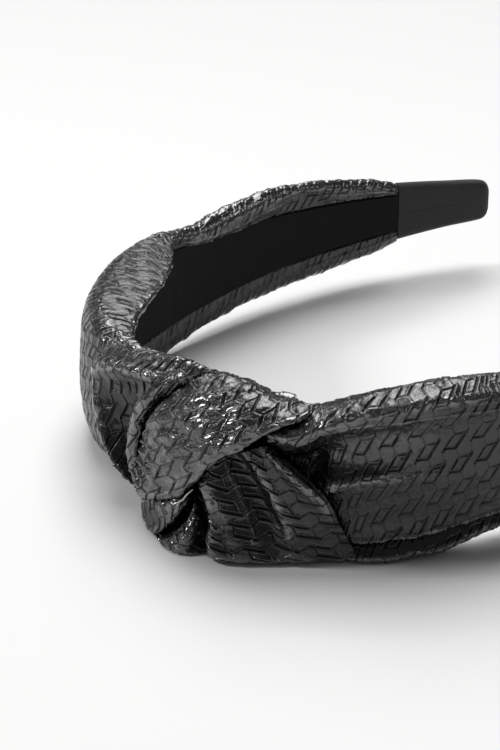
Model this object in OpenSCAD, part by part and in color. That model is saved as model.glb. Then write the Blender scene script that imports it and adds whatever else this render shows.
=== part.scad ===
// Knotted headband: a sprung hoop covered in embossed leather, with a tied knot beside the crown.
// The hoop lies in the XY plane. The origin is the centre of the head space, at mid width.
// The crown points to -Y, the two ends to +Y, and the knot sits towards the +X arm.

/* [Hoop] */
// Radius of the inner face over the crown
head_r = 54; // [46:0.5:66]
// Half of the crown's arc, each side of the middle
crown_half = 75; // [66:1:80]
// Radius of the inner face along each arm
arm_r = 139; // [110:1:180]
// Length of each arm past the crown, on the inner face
arm_len = 112; // [90:1:135]
// Thickness of the sprung core
core_t = 1.6; // [1.2:0.1:2.2]
// Width of the core over the crown
core_w = 24; // [19:0.5:29]
// Width of the core at its ends
core_tip_w = 9.4; // [7.5:0.1:11.5]

/* [Ribbon] */
// Thickness of the lining ribbon
lining_t = 0.5; // [0.4:0.05:0.8]
// Width of the lining ribbon over the crown
lining_w = 18; // [14:0.5:21]
// Width of the lining ribbon where it meets the end sleeves
lining_tip_w = 9; // [7:0.5:11]
// Length of the ribbon sleeve on each end
sleeve_len = 26; // [18:1:34]
// Thickness of the ribbon sleeve
sleeve_t = 0.5; // [0.4:0.05:0.8]
// Corner radius of the ribbon sleeve's end
tip_corner = 3; // [1:0.5:4]

/* [Leather] */
// Width of the covered band beside the knot
cover_w = 35; // [30:0.5:42]
// Width of the covered band where it ends
cover_end_w = 20; // [16:0.5:24]
// Thickness of the loose, folded leather over each arm
cover_t = 2.6; // [1.6:0.1:3.4]
// Thickness of the leather under the knot
centre_t = 1.2; // [0.8:0.1:1.8]
// Width of the leather under the knot
centre_w = 30; // [26:0.5:36]

/* [Knot] */
// Place of the knot on the crown, from the middle towards +X
knot_angle = 20; // [10:1:26]
// Half length of the knot along the band
knot_half = 25; // [20:0.5:30]
// Depth of the knot over the leather under it
knot_depth = 10; // [8:0.5:12]
// Height of the knot across the band
knot_h = 36; // [30:0.5:42]
// Diameter of the rolled leather edges of the knot
roll_d = 5; // [4:0.1:6]
// Diameter of the small lobe under the wrap
lobe_d = 9; // [7:0.5:11]
// Diameter of the folded bundle beside the wrap
bundle_d = 7; // [5.5:0.5:8.5]
// Diameter of the tacking thread
thread_d = 0.6; // [0.4:0.1:0.8]

/* [Clearance] */
// Gap between glued layers
glue_gap = 0.2; // [0.1:0.05:0.3]
// Gap between the leather folds of the knot
fold_gap = 0.3; // [0.2:0.05:0.5]
// Gap between the knot and the arm covers, for the flex of the arms
flex_gap = 1.5; // [1.2:0.1:2.5]

/* [Hidden] */
deg = 180 / PI;
core_in = lining_t + glue_gap;
core_out = core_in + core_t;
sleeve_in = lining_t - sleeve_t;
sleeve_out = core_out + glue_gap + sleeve_t;
cover_out = core_out + glue_gap + cover_t;
centre_out = core_out + glue_gap + centre_t;
bed_r = head_r + centre_out + fold_gap;
arm_centre = (head_r - arm_r) * [sin(crown_half), -cos(crown_half)];
core_len = arm_len - sleeve_t - glue_gap;
core_corner = tip_corner - sleeve_t - glue_gap;
sleeve_side = glue_gap + sleeve_t;
cover_len = arm_len - sleeve_len - glue_gap;
lining_len = cover_len;
tip_y = arm_y(arm_len);
cover_end_y = arm_y(cover_len);
// Reach of the knot along its bed, towards the +X arm and towards the -X arm
fan_reach = 0.8 * knot_half + roll_d / 2;
bundle_reach = 1.5 * knot_half + bundle_d / 2;
right_root = knot_angle + (fan_reach + flex_gap) / bed_r * deg;
left_root = (bundle_reach + flex_gap) / bed_r * deg - knot_angle;
gap_angle = flex_gap / bed_r * deg;
// Lap of each arm into the crown, and the step at its faces that keeps the lap inside
seam_lap = 1;
seam_step = 0.01;
// Room past every face for the shapes that cut
clear = 40;
leather = "#2c2c2e";
leather_fold = "#3a3a3c";
ribbon = "#1d1b1a";
moulding = "#111214";
thread = "#d8d4cc";
$fa = 3;
$fs = 0.5;

// Y of the inner face of an arm at a distance along it
function arm_y(along) = arm_centre[1] - arm_r * cos(crown_half + along / arm_r * deg);

// Layer of the crown between two heights over the inner face, from angle a0 to a1
module crown_layer(low, high, a0, a1) {
    rotate([0, 0, a0 - 90]) rotate_extrude(angle = a1 - a0)
        translate([head_r + low, -clear / 2]) square([high - low, clear]);
}

// Layer of the +X arm between two heights over the inner face, between two distances along it
module arm_layer(low, high, d0, d1) {
    translate(arm_centre) rotate([0, 0, crown_half + d0 / arm_r * deg - 90])
        rotate_extrude(angle = (d1 - d0) / arm_r * deg)
            translate([arm_r + low + seam_step, -clear / 2]) square([high - low - 2 * seam_step, clear]);
}

// Layer of the +X side of the hoop, from an angle on the crown to a distance along the arm
module side_layer(low, high, from, to) {
    far = 4 * head_r;
    difference() {
        union() {
            crown_layer(low, high, -crown_half, crown_half);
            arm_layer(low, high, -seam_lap, to);
        }
        linear_extrude(height = 2 * clear, center = true)
            polygon(concat([[0, 0]], [for (a = [-120, -60, 0, from]) far * [sin(a), -cos(a)]]));
    }
}

// Layer of the whole hoop, as far as a distance along each arm
module hoop_layer(low, high, to) {
    crown_layer(low, high, -crown_half, crown_half);
    for (side = [0, 1]) mirror([side, 0, 0]) arm_layer(low, high, -seam_lap, to);
}

// Space of one width as far as the middle of the head, that narrows along the arms to end_w at end_y
module band_space(crown_w, end_w, end_y) {
    past_y = 1.25 * end_y;
    past_w = end_w - (crown_w - end_w) / 4;
    rotate([90, 0, 90]) linear_extrude(height = 8 * head_r, center = true)
        polygon([[-2 * head_r, -crown_w / 2], [0, -crown_w / 2], [past_y, -past_w / 2],
                 [past_y, past_w / 2], [0, crown_w / 2], [-2 * head_r, crown_w / 2]]);
}

// Space that rounds the corners of a band of width w that ends at a distance along the +X arm
module tip_space(to, w, corner) {
    translate(arm_centre) rotate([0, 0, crown_half + to / arm_r * deg]) translate([0, -arm_r, 0])
        rotate([90, 0, 0]) linear_extrude(height = 4 * arm_len, center = true) {
            translate([-2 * arm_len, -clear / 2]) square([2 * arm_len - corner, clear]);
            translate([-2 * corner, corner - w / 2]) square([2 * corner, w - 2 * corner]);
            for (edge = [-1, 1]) translate([-corner, edge * (w / 2 - corner)]) circle(corner);
        }
}

// Core of the hoop, or with grow the room that it needs inside what is glued around it
module core_body(grow = 0) {
    to = core_len + grow;
    intersection() {
        union() {
            crown_layer(core_in - grow, core_out + grow, -crown_half, crown_half);
            for (side = [0, 1]) mirror([side, 0, 0]) intersection() {
                arm_layer(core_in - grow, core_out + grow, -seam_lap, to);
                tip_space(to, core_tip_w + 2 * grow, core_corner + grow);
            }
        }
        band_space(core_w + 2 * grow, core_tip_w + 2 * grow, tip_y);
    }
}

// Room that the lining needs between the inner lips of the leather
module lining_room() {
    intersection() {
        hoop_layer(-lining_t, core_in, arm_len);
        band_space(lining_w + 2 * glue_gap, lining_tip_w + 2 * glue_gap, cover_end_y);
    }
}

// Ball of leather on the knot's bed: u along the band, v out from it, w up from its lower edge
module ball(u, v, w, d, grow = 0) {
    rotate([0, 0, knot_angle + u * knot_half / bed_r * deg])
        translate([0, -bed_r - v * knot_depth, w * knot_h - cover_w / 2]) sphere(d = d + 2 * grow, $fn = 24);
}

// Rolled stretch of the wrap between two places, each given by its lower and its upper edge
module wrap_stretch(a, b, grow) {
    hull() for (p = concat(a, b)) ball(p[0], p[1], p[2], roll_d, grow);
}

// Wrap: comes from behind the +X cover, crosses the top and goes down under the knot
module wrap_body(grow = 0) {
    start = [[0.42, 0.15, 0.79], [0.3, 0.12, 0.9]];
    top = [[0.1, 0.58, 0.71], [-0.11, 0.2, 0.94]];
    front = [[-0.31, 0.68, 0.4], [-0.61, 0.5, 0.68]];
    tuck = [[-0.56, 0.62, 0.21], [-0.86, 0.53, 0.35]];
    wrap_stretch(start, top, grow);
    wrap_stretch(top, front, grow);
    wrap_stretch(front, tuck, grow);
}

// Fan: spreads from under the wrap to the lower edge of the band
module fan_body(grow = 0) {
    low = roll_d / 2 / knot_h;
    hull() {
        ball(0.11, 0.32, 0.65, roll_d, grow);
        ball(0.52, 0.2, 0.51, roll_d, grow);
        ball(0.8, 0.19, low, roll_d, grow);
        ball(0.08, 0.62, low, roll_d, grow);
        ball(-0.31, 0.63, low, roll_d, grow);
        ball(-0.21, 0.6, 0.38, roll_d, grow);
    }
}

// Lobe: the turned end of the strip, under the lower end of the wrap
module lobe_body(grow = 0) {
    low = lobe_d / 2 / knot_h;
    hull() {
        ball(-0.76, 0.25, low, lobe_d, grow);
        ball(-0.46, 0.4, low, lobe_d, grow);
    }
}

// Bundle: the folded strip that comes out of the wrap towards the -X arm
module bundle_body(grow = 0) {
    hull() {
        ball(-0.9, 0.2, 0.86, bundle_d, grow);
        ball(-0.95, 0.2, 0.36, bundle_d, grow);
        ball(-1.5, 0.1, 0.85, bundle_d, grow);
        ball(-1.5, 0.1, 0.22, bundle_d, grow);
    }
}

// Space inside the face that the knot's folds lie on
module knot_bed() {
    translate([0, 0, -clear]) cylinder(r = bed_r, h = 2 * clear);
}

// Sleeve of the +X end, folded over the end of the core
module tip_sleeve() {
    difference() {
        intersection() {
            arm_layer(sleeve_in, sleeve_out, arm_len - sleeve_len, arm_len);
            band_space(core_w + 2 * sleeve_side, core_tip_w + 2 * sleeve_side, tip_y);
            tip_space(arm_len, core_tip_w + 2 * sleeve_side, tip_corner);
        }
        core_body(glue_gap);
    }
}

// Cover of the +X side, from an angle on the crown to its gathered end
module cover_side(from) {
    difference() {
        intersection() {
            side_layer(0, cover_out, from, cover_len);
            band_space(cover_w, cover_end_w, cover_end_y);
        }
        core_body(glue_gap);
        lining_room();
    }
}

module core_hoop() {
    color(moulding) core_body();
}

module inner_lining() {
    color(ribbon) intersection() {
        hoop_layer(0, lining_t, lining_len);
        band_space(lining_w, lining_tip_w, cover_end_y);
    }
}

module tip_sleeve_left() {
    color(ribbon) mirror([1, 0, 0]) tip_sleeve();
}

module tip_sleeve_right() {
    color(ribbon) tip_sleeve();
}

module cover_left() {
    color(leather) mirror([1, 0, 0]) cover_side(left_root);
}

module cover_right() {
    color(leather) cover_side(right_root);
}

module cover_centre() {
    color(leather) difference() {
        crown_layer(0, centre_out, gap_angle - left_root, right_root - gap_angle);
        for (edge = [-1, 1]) translate([0, 0, edge * (centre_w / 2 + clear)])
            cube([4 * head_r, 4 * head_r, 2 * clear], center = true);
        core_body(glue_gap);
        lining_room();
    }
}

module knot_wrap() {
    color(leather_fold) difference() {
        wrap_body();
        knot_bed();
    }
}

module knot_fan() {
    color(leather) difference() {
        fan_body();
        knot_bed();
        wrap_body(fold_gap);
    }
}

module knot_lobe() {
    color(leather_fold) difference() {
        lobe_body();
        knot_bed();
        wrap_body(fold_gap);
        fan_body(fold_gap);
    }
}

module knot_bundle() {
    color(leather) difference() {
        bundle_body();
        knot_bed();
        wrap_body(fold_gap);
        lobe_body(fold_gap);
    }
}

// Loose end of the thread that tacks the folds, lying on the fan and the lobe
module tack_thread() {
    color(thread) hull() {
        ball(-0.36, 1, 0.36, thread_d);
        ball(-0.53, 0.93, 0.18, thread_d);
    }
}

core_hoop();
inner_lining();
tip_sleeve_left();
tip_sleeve_right();
cover_left();
cover_right();
cover_centre();
knot_wrap();
knot_fan();
knot_lobe();
knot_bundle();
tack_thread();
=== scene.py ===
import copy
import math

import bpy
import numpy as np
from mathutils import Matrix


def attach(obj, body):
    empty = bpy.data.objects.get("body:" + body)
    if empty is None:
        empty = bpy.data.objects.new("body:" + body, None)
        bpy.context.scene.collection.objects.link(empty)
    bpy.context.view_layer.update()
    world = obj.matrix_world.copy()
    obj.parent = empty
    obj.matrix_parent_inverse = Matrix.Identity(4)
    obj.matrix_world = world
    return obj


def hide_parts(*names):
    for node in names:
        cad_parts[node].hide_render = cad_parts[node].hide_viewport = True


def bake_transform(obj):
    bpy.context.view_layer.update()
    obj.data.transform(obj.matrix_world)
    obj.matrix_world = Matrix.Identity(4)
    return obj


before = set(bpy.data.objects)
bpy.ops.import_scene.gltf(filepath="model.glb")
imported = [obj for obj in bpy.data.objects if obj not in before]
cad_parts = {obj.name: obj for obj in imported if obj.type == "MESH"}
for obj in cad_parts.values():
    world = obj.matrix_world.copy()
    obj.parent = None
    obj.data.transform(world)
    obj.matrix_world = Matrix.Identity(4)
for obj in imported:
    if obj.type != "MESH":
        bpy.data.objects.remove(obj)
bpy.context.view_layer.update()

# Core hoop.
# A sprung strip of moulded black plastic, bent to a horseshoe, that everything else is glued to.
# It is hidden in the leather and made in two halves that meet beside the knot, where the band flexes.
# Sizes are in mm.
MM = 0.001
HEAD_R, ARM_R, CROWN_TURN = 54.0, 139.0, math.radians(75)
CROWN_S = HEAD_R * CROWN_TURN
KNOT_S = HEAD_R * math.radians(20)
TABLE_Z = -17.5


def round_the_hoop(band):
    """Places on the hoop, in mm, from band places (x, h, z). x runs along the inner face from the middle
    of the knot, h stands out from that face and z goes across the band. The face is an arc about the
    origin as far as the crown reaches, and then an arc of larger radius that starts in the same direction."""
    s = band[..., 0] + KNOT_S
    past = np.maximum(np.abs(s) - CROWN_S, 0)
    turn = (np.abs(s) - past) / HEAD_R + past / ARM_R
    on_arm = past > 0
    r = band[..., 1] + np.where(on_arm, ARM_R, HEAD_R)
    off = np.where(on_arm, HEAD_R - ARM_R, 0)
    x = off * math.sin(CROWN_TURN) + r * np.sin(turn)
    y = -off * math.cos(CROWN_TURN) - r * np.cos(turn)
    return np.stack([np.where(s < 0, -x, x), y, band[..., 2]], -1)


def through(points, places):
    """Smooth line through points along the first axis: between two points it is the cubic whose slope at
    each point is half the step between that point's neighbours. Places count points from 0."""
    ends = np.concatenate([2 * points[:1] - points[1:2], points, 2 * points[-1:] - points[-2:-1]])
    i = np.minimum(places.astype(int), len(points) - 2)
    f = (places - i).reshape((-1,) + (1,) * (points.ndim - 1))
    a, b, c, d = (ends[i + k] for k in range(4))
    return b + f / 2 * (c - a + f * (2 * a - 5 * b + 4 * c - d + f * (3 * (b - c) + d - a)))


def even_places(net, share, count):
    """Places along the first axis of a net whose steps are equally long on average, or shorter where
    share is larger."""
    fine = np.linspace(0, len(net) - 1, 24 * len(net))
    step = np.linalg.norm(np.diff(round_the_hoop(through(net, fine)), axis=0), axis=-1).mean(1) + 1e-6
    step = step * np.interp((fine[1:] + fine[:-1]) / 2, np.arange(len(net)), share)
    run = np.concatenate([[0], np.cumsum(step)])
    return np.interp(np.linspace(0, run[-1], count), run, fine)


def unit(v):
    """Vectors of length 1 in the same directions: each is divided by its length."""
    return v / np.maximum(np.linalg.norm(v, axis=-1, keepdims=True), 1e-12)


class Sheet:
    """A smooth sheet laid through a net of band places: ribs along the first axis, places across each rib
    along the second. Holds its grid of points, the direction it faces, the flat measures u along and v
    across from one column and row, in mm, the shares t and w of the way along and across, and crest,
    which grows from 0 to 1 as the sheet's bulge tightens from a radius of 12.5 mm to 2.6 mm."""

    FLATTEST, TIGHTEST = 0.08, 0.38
    CORE_MIDDLE = 1.5

    def __init__(self, net, along, across, share_along=None, share_across=None, anchor=0.5):
        net = np.asarray(net, float)
        share_along = np.ones(len(net)) if share_along is None else share_along
        share_across = np.ones(net.shape[1]) if share_across is None else share_across
        rows = even_places(net, share_along, along)
        columns = even_places(net.transpose(1, 0, 2), share_across, across)
        grid = through(through(net, rows).transpose(1, 0, 2), columns).transpose(1, 0, 2)
        self.points = round_the_hoop(grid)
        self.band = grid
        across_step, along_step = np.gradient(self.points, axis=1), np.gradient(self.points, axis=0)
        self.facing = unit(np.cross(along_step, across_step))
        inside = round_the_hoop(grid * [1, 0, 0] + [0, self.CORE_MIDDLE, 0])
        self.facing = self.facing * np.sign((self.facing * (self.points - inside)).sum())
        column = int(anchor * (across - 1))
        run = np.linalg.norm(np.diff(self.points[:, column], axis=0), axis=-1)
        self.u = np.repeat(np.concatenate([[0], np.cumsum(run)])[:, None], across, 1)
        reach = np.linalg.norm(np.diff(self.points, axis=1), axis=-1)
        reach = np.concatenate([np.zeros((along, 1)), np.cumsum(reach, axis=1)], 1)
        reach = reach - reach[:, column:column + 1]
        lean = (unit(along_step) * unit(across_step)).sum(-1)[:, column:column + 1]
        self.u, self.v = self.u + reach * lean, reach * np.sqrt(1 - lean ** 2)
        self.t, self.w = np.meshgrid(np.linspace(0, 1, along), np.linspace(0, 1, across), indexing="ij")
        bulge = 0
        for axis, step in ((0, along_step), (1, across_step)):
            bend = np.gradient(np.gradient(self.points, axis=axis), axis=axis)
            bulge = bulge - (bend * self.facing).sum(-1) / np.maximum((step ** 2).sum(-1), 1e-6)
        self.crest = np.clip((bulge - self.FLATTEST) / (self.TIGHTEST - self.FLATTEST), 0, 1)


RIM = 0.45


def skin(name, sheet, thick, raised=0.0, every=4, marks=None):
    """Closed mesh of a sheet with thickness: the front is the sheet raised along the way it faces, the back
    lies thick behind it with every n-th column, and both long edges are rounded by a rim that stands out by
    a share of the thickness. Nothing goes below the table. The two ends are closed by strips between front
    and back. marks are values of the front, kept as attributes."""
    front = sheet.points + sheet.facing * np.asarray(raised)[..., None]
    thick = np.broadcast_to(np.asarray(thick, float), sheet.u.shape)[..., None]
    back = (sheet.points - sheet.facing * thick)[:, ::every]
    rims = []
    for edge, next_one in ((-1, -2), (0, 1)):
        out = unit(sheet.points[:, edge] - sheet.points[:, next_one]) * thick[:, edge] * RIM
        rims.append(((front[:, edge] + back[:, edge]) / 2 + out)[:, None])
    rings = np.concatenate([front, rims[0], back[:, ::-1], rims[1]], 1)
    rings[..., 2] = np.maximum(rings[..., 2], TABLE_Z)
    rows, columns = rings.shape[:2]
    lead = front.shape[1]
    index = np.arange(rows * columns).reshape(rows, columns)
    beside = np.roll(index, -1, axis=1)
    quads = np.stack([index[:-1], index[1:], beside[1:], beside[:-1]], -1).reshape(-1, 4)
    behind = np.arange(columns - 2, lead, -1)
    caps = []
    for row, turn in ((0, 1), (rows - 1, -1)):
        strips = [[row * columns + k for k in
                   (*range(b * every, (b + 1) * every + 1), behind[b + 1], behind[b])]
                  for b in range(len(behind) - 1)]
        strips += [[row * columns + k for k in (lead - 1, lead, behind[-1])],
                   [row * columns + k for k in (columns - 1, 0, behind[0])]]
        caps += [strip[::turn] for strip in strips]
    a, b, c = (rings.reshape(-1, 3)[quads[:, k]] for k in range(3))
    faced = np.cross(b - a, c - a).reshape(rows - 1, columns, 3)[:, :lead - 1]
    if (faced * sheet.facing[:-1, :-1]).sum() < 0:
        quads, caps = quads[:, ::-1], [cap[::-1] for cap in caps]
    corners = np.concatenate([quads.ravel(), np.array([k for cap in caps for k in cap], int)])
    totals = np.array([4] * len(quads) + [len(cap) for cap in caps])
    mesh = bpy.data.meshes.new(name)
    mesh.vertices.add(rows * columns)
    mesh.vertices.foreach_set("co", (rings * MM).astype(np.float32).ravel())
    mesh.loops.add(len(corners))
    mesh.loops.foreach_set("vertex_index", corners.astype(np.int32))
    mesh.polygons.add(len(totals))
    mesh.polygons.foreach_set("loop_start", np.concatenate([[0], np.cumsum(totals)[:-1]]).astype(np.int32))
    mesh.polygons.foreach_set("use_smooth", np.ones(len(totals), bool))
    mesh.update(calc_edges=True)
    back_order = np.arange(lead)[::every][::-1]
    spread = np.concatenate([np.arange(lead), [lead - 1], back_order, [0]])
    flat = np.stack([sheet.u[:, spread], sheet.v[:, spread]], -1).reshape(-1, 2) * MM
    mesh.uv_layers.new(name="Flat").data.foreach_set("uv", flat[corners].astype(np.float32).ravel())
    for mark, values in (marks or {}).items():
        full = np.zeros((rows, columns))
        full[:, :lead] = values
        mesh.attributes.new(mark, "FLOAT", "POINT").data.foreach_set("value", full.astype(np.float32).ravel())
    piece = bpy.data.objects.new(name, mesh)
    bpy.context.scene.collection.objects.link(piece)
    return piece


class Val:
    """A value in a material's nodes, so that sums and products of values read as such."""

    def __init__(self, tree, socket=None):
        self.tree, self.socket = tree, socket

    def node(self, kind, settings=None, sockets=None, out=0):
        """Adds a node: its settings first, then a value or a link for each of its sockets."""
        made = self.tree.nodes.new(kind)
        for key, value in (settings or {}).items():
            setattr(made, key, value)
        for key, value in (sockets or {}).items():
            if isinstance(value, Val):
                self.tree.links.new(value.socket, made.inputs[key])
            else:
                made.inputs[key].default_value = value
        return Val(self.tree, made.outputs[out])

    def maths(self, operation, first, second=0.0):
        """One sum on numbers or values, by a Math node."""
        return self.node("ShaderNodeMath", {"operation": operation}, {0: first, 1: second})

    def __add__(self, other):
        return self.maths("ADD", self, other)

    __radd__ = __add__

    def __sub__(self, other):
        return self.maths("SUBTRACT", self, other)

    def __rsub__(self, other):
        return self.maths("SUBTRACT", other, self)

    def __mul__(self, other):
        return self.maths("MULTIPLY", self, other)

    __rmul__ = __mul__

    def between(self, low, high):
        """0 at low or below, 1 at high or above, and smooth between."""
        return self.node("ShaderNodeMapRange", {"interpolation_type": "SMOOTHSTEP"},
                         {"Value": self, "From Min": low, "From Max": high})

    def mix(self, dark, light):
        """The first colour at 0 and the second at 1."""
        return self.node("ShaderNodeMix", {"data_type": "RGBA"}, {0: self, 6: dark, 7: light}, 2)


def finish(name, constants):
    """A material with its own constants on its shader, and what the rest of its nodes start from."""
    material = bpy.data.materials.new(name)
    material.use_nodes = True
    tree = material.node_tree
    shader = tree.nodes["Principled BSDF"]
    for key, value in constants.items():
        shader.inputs[key].default_value = value
    return material, Val(tree), shader


def feed(start, shader, **values):
    """Links values to the shader's sockets: colour, roughness, coat and bump, the last a height in metres."""
    names = {"colour": "Base Color", "roughness": "Roughness", "coat": "Coat Weight"}
    if "bump" in values:
        normal = start.node("ShaderNodeBump", {}, {"Strength": 1.0, "Distance": 1.0,
                                                   "Height": values.pop("bump")})
        start.tree.links.new(normal.socket, shader.inputs["Normal"])
    for key, value in values.items():
        start.tree.links.new(value.socket, shader.inputs[names[key]])


def noise(start, size, detail=4.0):
    """Cloudy values from 0 to 1 on the piece's own coordinates, whose largest clouds are about size metres."""
    where = start.node("ShaderNodeTexCoord", out="Object")
    return start.node("ShaderNodeTexNoise", {}, {"Vector": where, "Scale": 1 / size, "Detail": detail,
                                                 "Roughness": 0.6})


moulding, start, shader = finish("moulded_plastic", {"Specular IOR Level": 0.4})
speckle = noise(start, 0.0006)
feed(start, shader, colour=speckle.mix((0.011, 0.011, 0.012, 1), (0.019, 0.019, 0.02, 1)),
     roughness=speckle * 0.15 + 0.42, bump=speckle * 0.00001)


def strip_net(stations, h, widths, columns=5):
    """Net of a flat strip at one height: at each station it is as wide as the width given for it."""
    x, half = np.asarray(stations, float)[:, None], np.asarray(widths, float)[:, None] / 2
    z = half * np.linspace(-1, 1, columns)
    return np.stack(np.broadcast_arrays(x, np.float64(h), z), -1)


def halves(stations):
    """Each side's name and its stations along the band, from the knot to the end. The -X half is the mirror
    image of the other about the crown's middle, so past the knot it runs farther."""
    right = np.array(stations, float)
    return ("right", right), ("left", np.where(right > 0, -2 * KNOT_S - right, 0))


CORE_X = [0, 25, 50, 66, 90, 110, 130, 150, 160, 162.2, 162.9]
CORE_W = [24, 24, 24, 24, 21.2, 18, 14.8, 11.6, 10, 8.2, 5.4]
CORE_H, CORE_THICK = 2.3, 1.6
for side, stations in halves(CORE_X):
    core = skin("core_" + side, Sheet(strip_net(stations, CORE_H, CORE_W), 160, 13), CORE_THICK, every=2)
    core.data.materials.append(moulding)
    side + "_arm"
    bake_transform(core)
    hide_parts("core_hoop")

# Inner lining.
# A matte black ribbon with fine ribs across it, glued along the inner face and narrowing with the arms.
# It is made in two halves that meet under the knot, where the band flexes with the core.
RIB, WARP, LINT = 0.00045, 0.0003, 0.004


def ribbon_finish(name, dark, light, sheen):
    """Matte ribbon: fine ribs across it, finer threads along it, and a little lint."""
    material, start, shader = finish(name, {"Specular IOR Level": 0.2, "Sheen Weight": sheen,
                                            "Sheen Roughness": 0.5})
    flat = start.node("ShaderNodeUVMap", {"uv_map": "Flat"})
    flat_u, flat_v = (start.node("ShaderNodeSeparateXYZ", {}, {0: flat}, k) for k in "XY")
    ribs = start.maths("SINE", flat_u * (2 * math.pi / RIB)) * 0.5 + 0.5
    warp = start.maths("SINE", flat_v * (2 * math.pi / WARP)) * 0.5 + 0.5
    lint = noise(start, LINT, 5.0)
    feed(start, shader, colour=(lint * 0.6 + ribs * 0.4).mix(dark, light), roughness=lint * 0.15 + 0.72,
         bump=ribs * 0.00005 + warp * 0.00002 + lint * 0.00004)
    return material


# The lining ribbon's colours are very dark: partly its black, partly painted shade on the inner face.
ribbon = ribbon_finish("woven_ribbon_and_shade", (0.003, 0.0028, 0.0028, 1), (0.009, 0.0085, 0.008, 1), 0.05)
LINING_X = [0, 25, 50, 66, 90, 110, 137.4]
LINING_W = [18, 18, 18, 18, 15.4, 12.6, 9.2]
LINING_H, LINING_THICK = 0.03, 0.42
WAVINESS = 9
for side, stations in halves(LINING_X):
    sheet = Sheet(strip_net(stations, LINING_H, LINING_W, 7), 420, 41)
    selvedge = np.exp(-((np.abs(sheet.w - 0.5) - 0.46) / 0.025) ** 2)
    lining = skin("lining_" + side, sheet, LINING_THICK,
                  raised=0.02 * np.sin(sheet.u * WAVINESS) - 0.05 * selvedge)
    lining.data.materials.append(ribbon)
    side + "_arm"
    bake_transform(lining)
    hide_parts("inner_lining")
    0.174 if side == "left" else 0.136
    "core_" + side

# Tip sleeves.
# A short length of ribbon with more sheen than the lining and a lighter colour painted on as light, folded over
# each end of the core and glued with its seam inside.
# The end's corners are rounded where the ribbon turns over the core's.
# Lighter colours than the lining ribbon's: painted light on the sleeves.
sleeve_ribbon_lit = ribbon_finish("sleeve_ribbon_painted_light", (0.027, 0.0265, 0.0265, 1), (0.058, 0.056, 0.055, 1), 0.25)
ARM_LEN = 112.0
TIPS = {"right": CROWN_S + ARM_LEN - KNOT_S, "left": -CROWN_S - ARM_LEN - KNOT_S}
SLEEVE_THICK = 0.35
SLEEVE_BACK = [26.1, 25.2, 18, 10, 4, 1.8, 0.7, 0.15]
SLEEVE_HALF = [7.6, 7.5, 6.8, 6.0, 5.5, 5.1, 4.2, 2.9]
SLEEVE_IN = [0.05, 0.0, 0.0, 0.0, 0.05, 0.15, 0.5, 1.0]
SLEEVE_OUT = [2.9, 3.0, 3.0, 3.0, 2.95, 2.85, 2.5, 2.0]
ROUND = [(0, -0.01), (0, -0.5), (0.06, -0.86), (0.34, -1.0), (0.66, -1.0), (0.94, -0.86), (1, -0.45), (1, 0),
         (1, 0.45), (0.94, 0.86), (0.66, 1.0), (0.34, 1.0), (0.06, 0.86), (0, 0.5), (0, 0.01)]
for side, tip in TIPS.items():
    back, half, low, high = (np.array(v)[:, None] for v in (SLEEVE_BACK, SLEEVE_HALF, SLEEVE_IN, SLEEVE_OUT))
    out, across = np.array(ROUND).T
    along = tip - math.copysign(1, tip) * back
    sheet = Sheet(np.stack(np.broadcast_arrays(along, low + (high - low) * out, half * across), -1), 110, 121)
    sleeve = skin("ribbon_sleeve_" + side, sheet, SLEEVE_THICK, raised=0.015 * np.sin(sheet.u * WAVINESS))
    sleeve.data.materials.append(sleeve_ribbon_lit)
    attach(sleeve, side + "_arm")
    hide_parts("tip_sleeve_" + side)
    "core_" + side

# Leather under the knot.
# The middle of the strip, drawn tight round the core under the knot, with its edges turned to the inside.
# Its face carries the same pressed braid as the rest, and only its edges show.
TILE_STEP, ROW_STEP = np.array([5.65, 1.65]), np.array([1.0, -5.1])
BRAID_LINES = [((0.05, 0.1), (-2.1, -3.25), 0.25, 0.9), ((3.0, 1.2), (0.5, -2.6), 0.3, 1.0),
               ((0.1, 0.4), (2.7, 0.65), 0.23, 0.7), ((-1.6, -2.5), (0.5, -2.6), 0.23, 0.7),
               ((0.5, -2.6), (1.25, -4.7), 0.22, 0.5), ((-2.1, -3.25), (-1.75, -5.55), 0.22, 0.45)]
TILE_CORNER, TILE_SIDES = np.array([0.05, 0.3]), np.array([[2.35, 0.15], [-1.9, -3.0]])
LIP_HEIGHT, TILE_SINK, LINE_DEPTH = 0.1, 0.16, 0.36


def pressed_braid(u, v):
    """The braid pressed into the leather: lines is 1 in the deepest lines and 0 off them, and relief is their
    height in mm, with a low lip along both sides and each small tile sunk towards its left side. Each place is
    moved into one cell of a slanted lattice, and the deepest of the cell's lines and its neighbours' counts."""
    place = np.stack([u, v], -1)
    lattice = np.stack([TILE_STEP, ROW_STEP])
    place = place - np.floor(place @ np.linalg.inv(lattice)) @ lattice
    lines, lips, sunk = (np.zeros(u.shape) for _ in range(3))
    for i in (-1, 0, 1, 2):
        for j in (-2, -1, 0, 1):
            corner = place - i * TILE_STEP - j * ROW_STEP
            for a, b, width, depth in BRAID_LINES:
                off, line = corner - a, np.subtract(b, a)
                share = np.clip(off @ line / (line @ line), 0, 1)
                near = np.linalg.norm(off - share[..., None] * line, axis=-1) / width
                lines = np.maximum(lines, depth * np.exp(-(near / 0.62) ** 2))
                lips = np.maximum(lips, depth * np.exp(-((near - 1.3) / 0.7) ** 2))
            p, q = np.moveaxis((corner - TILE_CORNER) @ np.linalg.inv(TILE_SIDES), -1, 0)
            sunk = np.where((p > 0) & (p < 1) & (q > 0) & (q < 1), 1 - p, sunk)
    return lines, LIP_HEIGHT * lips - TILE_SINK * sunk - LINE_DEPTH * lines


LATTICE = 97


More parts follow.
